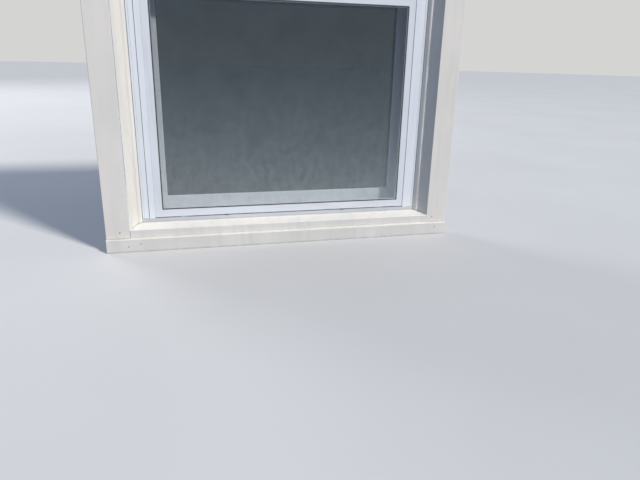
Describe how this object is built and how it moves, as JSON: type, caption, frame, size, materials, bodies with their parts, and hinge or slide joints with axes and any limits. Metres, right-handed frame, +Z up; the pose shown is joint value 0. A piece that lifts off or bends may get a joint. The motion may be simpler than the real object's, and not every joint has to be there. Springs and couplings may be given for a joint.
{
  "type": "sash window",
  "caption": "Vertically sliding double-hung vinyl window in a wrapped wooden casing and sill, with two glazed sashes, a cam lock and a half insect screen.",
  "frame": {"origin": "middle of the sill's underside, on the plane of the casing's back", "axes": "+X to the right seen from outside, +Y into the room, +Z up"},
  "size_m": [1.032, 0.1482, 1.438],
  "materials": {
    "cream_wrap": "satin cream coil coating",
    "wood": "bare softwood",
    "vinyl": "white extruded vinyl",
    "white_plastic": "white moulded plastic",
    "screen_finish": "white baked enamel",
    "mesh": "grey woven insect mesh",
    "rubber": "matt",
    "pile": "grey pile",
    "spacer": "matt",
    "steel": "zinc plated",
    "lock_finish": "white enamel",
    "glass": "clear"
  },
  "bodies": {
    "frame": {"balance_screws": "steel", "frame_head": "vinyl", "frame_sill": "vinyl", "head_blind_stop": "wood", "head_casing_board": "wood", "head_casing_cover": "cream_wrap", "left_blind_stop": "wood", "left_casing_board": "wood", "left_casing_cover": "cream_wrap", "left_jamb": "vinyl", "lower_left_balance_tube": "white_plastic", "lower_right_balance_tube": "white_plastic", "right_blind_stop": "wood", "right_casing_board": "wood", "right_casing_cover": "cream_wrap", "right_jamb": "vinyl", "sill_board": "wood", "sill_cover": "cream_wrap", "upper_left_balance_tube": "white_plastic", "upper_right_balance_tube": "white_plastic"},
    "lower_sash": {"bottom_seal": "rubber", "lock_base": "lock_finish", "lock_screws": "steel", "lower_bottom_rail": "vinyl", "lower_glazing_beads": "vinyl", "lower_inner_pane": "glass", "lower_left_balance_rod": "steel", "lower_left_stile": "vinyl", "lower_meeting_rail": "vinyl", "lower_outer_pane": "glass", "lower_pile_strips": "pile", "lower_right_balance_rod": "steel", "lower_right_stile": "vinyl", "lower_setting_blocks": "rubber", "lower_spacer": "spacer"},
    "upper_sash": {"keeper_screws": "steel", "lock_keeper": "lock_finish", "upper_glazing_beads": "vinyl", "upper_inner_pane": "glass", "upper_left_balance_rod": "steel", "upper_left_stile": "vinyl", "upper_meeting_rail": "vinyl", "upper_outer_pane": "glass", "upper_pile_strips": "pile", "upper_right_balance_rod": "steel", "upper_right_stile": "vinyl", "upper_setting_blocks": "rubber", "upper_spacer": "spacer", "upper_top_rail": "vinyl"},
    "screen": {"insect_mesh": "mesh", "screen_bottom_bar": "screen_finish", "screen_corners": "white_plastic", "screen_feet": "white_plastic", "screen_left_bar": "screen_finish", "screen_right_bar": "screen_finish", "screen_spline": "rubber", "screen_top_bar": "screen_finish"},
    "lock_lever": {"lock_lever": "lock_finish"}
  },
  "joints": [
    {"name": "lower_sash_slide", "type": "slide", "parent": "frame", "child": "lower_sash", "axis": [0, 0, 1], "range_m": [0, 0.53]},
    {"name": "upper_sash_slide", "type": "slide", "parent": "frame", "child": "upper_sash", "axis": [0, 0, 1], "range_m": [-0.53, 0]},
    {"name": "screen_slide", "type": "slide", "parent": "frame", "child": "screen", "axis": [0, 0, 1], "range_m": [0, 0.58]},
    {"name": "lock_turn", "type": "hinge", "parent": "lower_sash", "child": "lock_lever", "pos_m": [0, 0.08215, 0.7293], "axis": [0, 0, 1], "range_deg": [-90, 0]}
  ]
}
